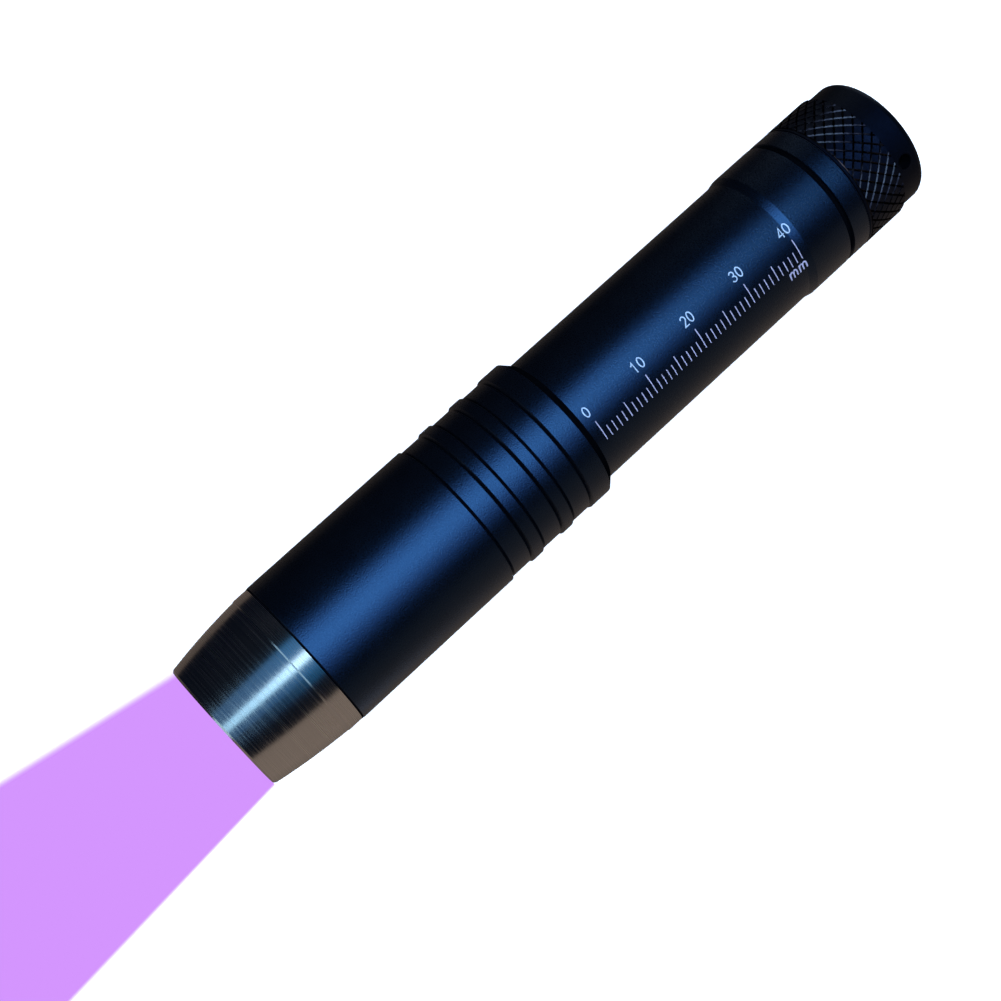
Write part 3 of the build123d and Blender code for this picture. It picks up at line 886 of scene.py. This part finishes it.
def make_camera():
    """Camera above the head, looking a little towards the tail cap, rolled so that the torch rises."""
    back = math.cos(CAMERA_TILT) * toward - math.sin(CAMERA_TILT) * along
    ahead = math.cos(CAMERA_TILT) * along + math.sin(CAMERA_TILT) * toward
    back_turned = math.cos(CAMERA_SIDE) * back + math.sin(CAMERA_SIDE) * across
    across_turned = math.cos(CAMERA_SIDE) * across - math.sin(CAMERA_SIDE) * back
    right = math.cos(CAMERA_ROLL) * ahead - math.sin(CAMERA_ROLL) * across_turned
    up = math.sin(CAMERA_ROLL) * ahead + math.cos(CAMERA_ROLL) * across_turned
    data = bpy.data.cameras.new("camera")
    data.lens = CAMERA_LENS
    data.sensor_width = SENSOR_WIDTH
    data.clip_start = 0.01
    camera = bpy.data.objects.new("camera", data)
    bpy.context.scene.collection.objects.link(camera)
    turn = Matrix((right, up, back_turned)).transposed().to_4x4()
    camera.matrix_world = Matrix.Translation(Vector((CAMERA_FOOT, 0, 0)) + CAMERA_DISTANCE * toward) @ turn
    bpy.context.scene.camera = camera


def area_light(name, position, target, size_x, size_y, radiance, colour, x_axis=along, receivers=None):
    """A rectangular light at position, facing target, with its long side along x_axis."""
    data = bpy.data.lights.new(name, "AREA")
    data.shape = "RECTANGLE"
    data.size = size_x
    data.size_y = size_y
    data.energy = math.pi * radiance * size_x * size_y
    data.color = colour
    light = bpy.data.objects.new(name, data)
    bpy.context.scene.collection.objects.link(light)
    z = (Vector(position) - Vector(target)).normalized()
    y = z.cross(x_axis).normalized()
    x = y.cross(z)
    turn = Matrix((x, y, z)).transposed().to_4x4()
    light.matrix_world = Matrix.Translation(position) @ turn
    if receivers is not None:
        light.light_linking.receiver_collection = receivers


make_camera()


def around(theta, distance, x):
    """Point round the torch, theta degrees from the camera's direction towards across."""
    turn = math.radians(theta)
    return distance * (math.cos(turn) * toward + math.sin(turn) * across) + Vector((x, 0, 0))


STEEL = bpy.data.collections.new("steel")
STEEL.objects.link(nodes["bezel"])
BODY = bpy.data.collections.new("body")
BODY.objects.link(nodes["bezel"])
BODY.collection_objects[0].light_linking.link_state = "EXCLUDE"
KNURL = bpy.data.collections.new("knurl")
KNURL.objects.link(knurl)
KNURL.objects.link(knurl_edge)
LAMP_DISTANCE = 0.62
SKY = (0.45, 0.77, 1.0)
BODY_SPAN = -0.31, 0.25
STEEL_SPAN = -0.36, 0.10
BAND_SPAN = -0.12, 0.10


def soft_box(name, receivers, theta, half_angle, span, radiance, colour):
    """A light that the torch mirrors as a band. Its span is where it starts and ends along X."""
    start, end = span
    centre_x = (start + end) / 2
    height = 2 * LAMP_DISTANCE * math.tan(math.radians(half_angle))
    place = around(theta, LAMP_DISTANCE, centre_x)
    target = (0, 0, 0) if end < FRONT else (centre_x, 0, 0)
    area_light(name, place, target, end - start, height, radiance, colour, along, receivers)


# The photo shows the steel far brighter than the anodised surfaces, so each gets boxes of its own
# strength. The knurl has the body's boxes and one more for its glints.
soft_box("body_peak", BODY, 0, 5, BODY_SPAN, 2.6, SKY)
soft_box("body_core", BODY, -1, 11, BODY_SPAN, 3.6, SKY)
soft_box("body_middle", BODY, 0, 20, BODY_SPAN, 4.2, (0.43, 0.70, 1.0))
soft_box("body_wide", BODY, -4, 31, BODY_SPAN, 2.9, (0.37, 0.52, 1.0))
soft_box("body_below", BODY, -125, 12, (-0.25, 0.0), 0.30, (0.4, 0.66, 1.0))
soft_box("steel_core", STEEL, -4, 6, STEEL_SPAN, 1.8, (0.42, 0.77, 1.0))
soft_box("steel_flank", STEEL, 12, 14, STEEL_SPAN, 0.31, (0.18, 0.48, 1.0))
soft_box("steel_haze", STEEL, -12, 12, STEEL_SPAN, 0.24, (0.12, 0.42, 1.0))
soft_box("steel_wide_haze", STEEL, -10, 32, STEEL_SPAN, 0.022, (0.10, 0.30, 1.0))
soft_box("steel_band", STEEL, -2, 6, BAND_SPAN, 1.7, (0.72, 0.88, 1.0))
soft_box("steel_band_haze", STEEL, -4, 32, BAND_SPAN, 0.30, (0.03, 0.42, 1.0))
soft_box("steel_facet", STEEL, 0, 42, (-1.0, -0.62), 1.3, (0.42, 0.72, 1.0))
soft_box("steel_table", STEEL, 155, 25, (-0.36, 0.36), 0.05, (1.0, 0.79, 0.67))
soft_box("knurl_glint", KNURL, 0, 10, (0.0, 0.45), 9.0, (0.95, 0.92, 1.0))
area_light("tail_fill", (1.0, 0.6, 0.35), (0, 0, 0), 0.8, 0.8, 1.2, (0.8, 0.9, 1.0), across)
area_light("front_fill", (-1.0, 0.3, 0.5), (0, 0, 0), 0.6, 0.6, 2.4, (0.8, 0.9, 1.0), across, BODY)
area_light("steel_fill", (-1.0, -0.06, 0.11), (0, 0, 0), 0.35, 0.35, 1.8, (0.55, 0.82, 1.0), across, STEEL)


def studio_world():
    """A dim beige table below, darkness above, and a white backdrop for the camera alone."""
    world = bpy.data.worlds.new("studio")
    world.use_nodes = True
    tree = world.node_tree
    link = tree.links.new

    def share(source, low, high):
        """Rises from 0 to 1 as the source goes from low to high."""
        node = tree.nodes.new("ShaderNodeMapRange")
        node.inputs["From Min"].default_value = low
        node.inputs["From Max"].default_value = high
        link(source, node.inputs["Value"])
        return node.outputs["Result"]

    def mixed(factor, first, second):
        """Mix of two colours, each given as a tuple or as a node's output."""
        node = tree.nodes.new("ShaderNodeMix")
        node.data_type = "RGBA"
        link(factor, node.inputs["Factor"])
        for colour, socket in ((first, node.inputs[6]), (second, node.inputs[7])):
            if isinstance(colour, tuple):
                socket.default_value = (*colour, 1)
            else:
                link(colour, socket)
        return node.outputs[2]

    place = tree.nodes.new("ShaderNodeTexCoord")
    split = tree.nodes.new("ShaderNodeSeparateXYZ")
    link(place.outputs["Generated"], split.inputs[0])
    table = mixed(share(split.outputs["Y"], -0.4, 0.9), (0.27, 0.215, 0.18), (0.07, 0.056, 0.048))
    room = mixed(share(split.outputs["Z"], -0.17, -0.12), table, (0.004, 0.006, 0.012))
    camera_ray = tree.nodes.new("ShaderNodeLightPath").outputs["Is Camera Ray"]
    link(mixed(camera_ray, room, (1, 1, 1)), tree.nodes["Background"].inputs["Color"])
    bpy.context.scene.world = world


studio_world()
bpy.context.scene.view_settings.view_transform = "Standard"
